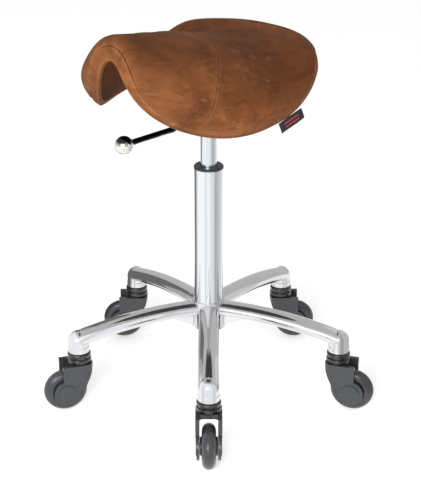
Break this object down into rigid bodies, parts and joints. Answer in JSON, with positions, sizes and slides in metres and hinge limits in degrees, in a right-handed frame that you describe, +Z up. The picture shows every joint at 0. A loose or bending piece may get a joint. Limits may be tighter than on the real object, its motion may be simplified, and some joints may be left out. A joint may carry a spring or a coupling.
{
  "type": "adjustable swivel stool",
  "caption": "Saddle-seat swivel stool with gas-lift column, height lever and polished star base on swivelling casters.",
  "frame": {"origin": "on the floor, on the axis of the column", "axes": "+Z up along the column; -Y towards the pommel (the front of the seat); +X to the sitter's left"},
  "size_m": [0.5519, 0.5519, 0.6788],
  "materials": {
    "polished_aluminium": "mirror polished",
    "chrome_tube": "bright chrome",
    "black_plastic": "satin black",
    "plain_steel": "plain",
    "satin_cylinder": "fine satin",
    "black_steel": "black powder coat",
    "block_wood": "raw",
    "plywood": "raw",
    "foam": "open cell foam",
    "tan_leather": "mottled pull-up, waxed",
    "lining_leather": "matt",
    "woven_tag": "woven",
    "chrome_lever": "bright chrome",
    "grey_plastic": "satin dark grey",
    "gloss_black": "gloss black",
    "tyre_grey": "glossy polyurethane"
  },
  "bodies": {
    "base": {"star_base": "polished_aluminium", "column_tube": "chrome_tube", "guide_bush": "black_plastic", "thrust_bearing": "plain_steel", "caster_1_stem": "plain_steel", "caster_2_stem": "plain_steel", "caster_3_stem": "plain_steel", "caster_4_stem": "plain_steel", "caster_5_stem": "plain_steel"},
    "lift_rod": {"piston_rod": "plain_steel", "piston": "plain_steel", "rod_clip": "plain_steel"},
    "seat": {"gas_cylinder": "satin_cylinder", "mechanism_plate": "black_steel", "mechanism_channel": "black_steel", "taper_socket": "black_steel", "lever_pivot": "plain_steel", "mount_block": "block_wood", "seat_bolts": "plain_steel", "tee_nuts": "plain_steel", "seat_shell": "plywood", "seat_foam": "foam", "cover_front": "tan_leather", "cover_rear": "tan_leather", "cover_band": "tan_leather", "underside_cover": "lining_leather", "seat_label": "woven_tag"},
    "lever": {"lever_rod": "chrome_lever", "lever_ball": "chrome_lever"},
    "valve": {"valve_pin": "plain_steel"},
    "caster_1": {"caster_1_fork": "grey_plastic", "caster_1_collar": "gloss_black", "caster_1_axle": "plain_steel", "caster_1_caps": "grey_plastic"},
    "wheel_1": {"caster_1_hub": "grey_plastic", "caster_1_tyre": "tyre_grey"},
    "caster_2": {"caster_2_fork": "grey_plastic", "caster_2_collar": "gloss_black", "caster_2_axle": "plain_steel", "caster_2_caps": "grey_plastic"},
    "wheel_2": {"caster_2_hub": "grey_plastic", "caster_2_tyre": "tyre_grey"},
    "caster_3": {"caster_3_fork": "grey_plastic", "caster_3_collar": "gloss_black", "caster_3_axle": "plain_steel", "caster_3_caps": "grey_plastic"},
    "wheel_3": {"caster_3_hub": "grey_plastic", "caster_3_tyre": "tyre_grey"},
    "caster_4": {"caster_4_fork": "grey_plastic", "caster_4_collar": "gloss_black", "caster_4_axle": "plain_steel", "caster_4_caps": "grey_plastic"},
    "wheel_4": {"caster_4_hub": "grey_plastic", "caster_4_tyre": "tyre_grey"},
    "caster_5": {"caster_5_fork": "grey_plastic", "caster_5_collar": "gloss_black", "caster_5_axle": "plain_steel", "caster_5_caps": "grey_plastic"},
    "wheel_5": {"caster_5_hub": "grey_plastic", "caster_5_tyre": "tyre_grey"}
  },
  "joints": [
    {"name": "seat_swivel", "type": "hinge", "parent": "base", "child": "lift_rod", "pos_m": [0, 0, 0.13], "axis": [0, 0, 1], "continuous": true},
    {"name": "height_adjust", "type": "slide", "parent": "lift_rod", "child": "seat", "axis": [0, 0, 1], "range_m": [-0.015, 0.13]},
    {"name": "height_lever", "type": "hinge", "parent": "seat", "child": "lever", "pos_m": [0, -0.026, 0.5523], "axis": [-1, 0, 0], "range_deg": [0, 6]},
    {"name": "valve_press", "type": "slide", "parent": "seat", "child": "valve", "axis": [0, 0, 1], "range_m": [-0.003, 0]},
    {"name": "caster_1_swivel", "type": "hinge", "parent": "base", "child": "caster_1", "pos_m": [0.16688, -0.16688, 0.1], "axis": [0, 0, 1], "continuous": true},
    {"name": "wheel_1_roll", "type": "hinge", "parent": "caster_1", "child": "wheel_1", "pos_m": [0.18597, -0.18597, 0.038], "axis": [0.7071, 0.7071, 0], "continuous": true},
    {"name": "caster_2_swivel", "type": "hinge", "parent": "base", "child": "caster_2", "pos_m": [0.21028, 0.10714, 0.1], "axis": [0, 0, 1], "continuous": true},
    {"name": "wheel_2_roll", "type": "hinge", "parent": "caster_2", "child": "wheel_2", "pos_m": [0.23433, 0.1194, 0.038], "axis": [-0.454, 0.891, 0], "continuous": true},
    {"name": "caster_3_swivel", "type": "hinge", "parent": "base", "child": "caster_3", "pos_m": [-0.03692, 0.23309, 0.1], "axis": [0, 0, 1], "continuous": true},
    {"name": "wheel_3_roll", "type": "hinge", "parent": "caster_3", "child": "wheel_3", "pos_m": [-0.01783, 0.25219, 0.038], "axis": [-0.7071, 0.7071, 0], "continuous": true},
    {"name": "caster_4_swivel", "type": "hinge", "parent": "base", "child": "caster_4", "pos_m": [-0.23309, 0.03692, 0.1], "axis": [0, 0, 1], "continuous": true},
    {"name": "wheel_4_roll", "type": "hinge", "parent": "caster_4", "child": "wheel_4", "pos_m": [-0.25219, 0.01783, 0.038], "axis": [0.7071, -0.7071, 0], "continuous": true},
    {"name": "caster_5_swivel", "type": "hinge", "parent": "base", "child": "caster_5", "pos_m": [-0.10714, -0.21028, 0.1], "axis": [0, 0, 1], "continuous": true},
    {"name": "wheel_5_roll", "type": "hinge", "parent": "caster_5", "child": "wheel_5", "pos_m": [-0.1194, -0.23433, 0.038], "axis": [0.891, -0.454, 0], "continuous": true}
  ],
  "couplings": [
    {"joint": "valve_press", "follows": "height_lever", "m_per_rad": -0.026}
  ]
}
